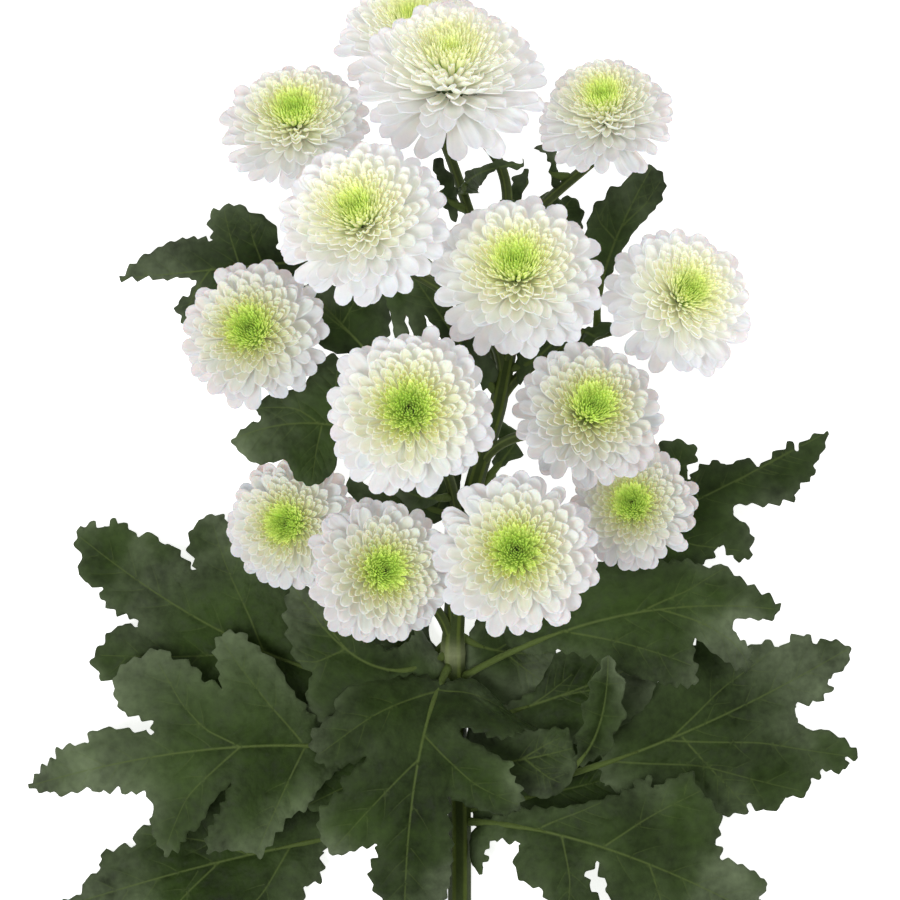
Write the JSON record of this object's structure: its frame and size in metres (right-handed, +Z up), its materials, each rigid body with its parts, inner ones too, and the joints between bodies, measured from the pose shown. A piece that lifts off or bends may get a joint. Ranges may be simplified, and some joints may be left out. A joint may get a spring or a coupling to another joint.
{
  "type": "poppy chrysanthemum",
  "caption": "Cut spray of small white double chrysanthemum blooms with lime-green hearts, on a branching ribbed stem with lobed, toothed dark green leaves, laid on a table.",
  "frame": {"origin": "on the flat underside of the main stem, where it lies on the table near its cut end", "axes": "+Z up from the table, +Y along the stem from the cut end to the blooms, +X to the right as seen from above with the blooms at the top"},
  "size_m": [0.2391, 0.3325, 0.1051],
  "materials": {
    "petal": "soft white petal, creamy inside and faintly lilac-grey at the rounded tips; fabric stands in for plant tissue",
    "eye": "fresh lime-green young petals, darker in the dimple; fabric stands in for plant tissue",
    "leaf": "matt dark green blade with paler yellow-green veins and a greyish bloom at the lobes; fabric stands in for plant tissue",
    "stem": "ribbed mid-green stem, paler at the joints; fabric stands in for plant tissue"
  },
  "bodies": {
    "root": {"stem": "stem", "bloom_01_petals": "petal", "bloom_01_eye": "eye", "bloom_02_petals": "petal", "bloom_02_eye": "eye", "bloom_03_petals": "petal", "bloom_03_eye": "eye", "bloom_04_petals": "petal", "bloom_04_eye": "eye", "bloom_05_petals": "petal", "bloom_05_eye": "eye", "bloom_06_petals": "petal", "bloom_06_eye": "eye", "bloom_07_petals": "petal", "bloom_07_eye": "eye", "bloom_08_petals": "petal", "bloom_08_eye": "eye", "bloom_09_petals": "petal", "bloom_09_eye": "eye", "bloom_10_petals": "petal", "bloom_10_eye": "eye", "bloom_11_petals": "petal", "bloom_11_eye": "eye", "bloom_12_petals": "petal", "bloom_12_eye": "eye", "bloom_13_petals": "petal", "bloom_13_eye": "eye", "bloom_14_petals": "petal", "bloom_14_eye": "eye", "leaf_left_upper": "leaf", "leaf_left_middle": "leaf", "leaf_left_lower": "leaf", "leaf_front": "leaf", "leaf_right_top": "leaf", "leaf_right_upper": "leaf", "leaf_right_middle": "leaf", "leaf_right_lower": "leaf", "leaf_right_inner": "leaf", "leaf_right_behind": "leaf", "leaf_right_under": "leaf", "leaf_left_behind": "leaf", "leaf_right_folded": "leaf", "leaf_left_inner": "leaf", "leaf_top_left": "leaf", "leaf_upper_left_inner": "leaf", "leaf_middle_left": "leaf", "leaf_top_right": "leaf", "leaf_top_behind": "leaf", "leaf_right_bract": "leaf", "leaf_stem_bract": "leaf", "leaf_joint_left": "leaf", "leaf_joint_right": "leaf", "leaf_centre_left": "leaf", "leaf_centre_upper": "leaf", "leaf_centre_right": "leaf", "leaf_centre_lower": "leaf", "leaf_bract_left": "leaf", "leaf_bract_front": "leaf", "leaf_bract_stem": "leaf", "leaf_bract_right": "leaf"}
  },
  "joints": []
}
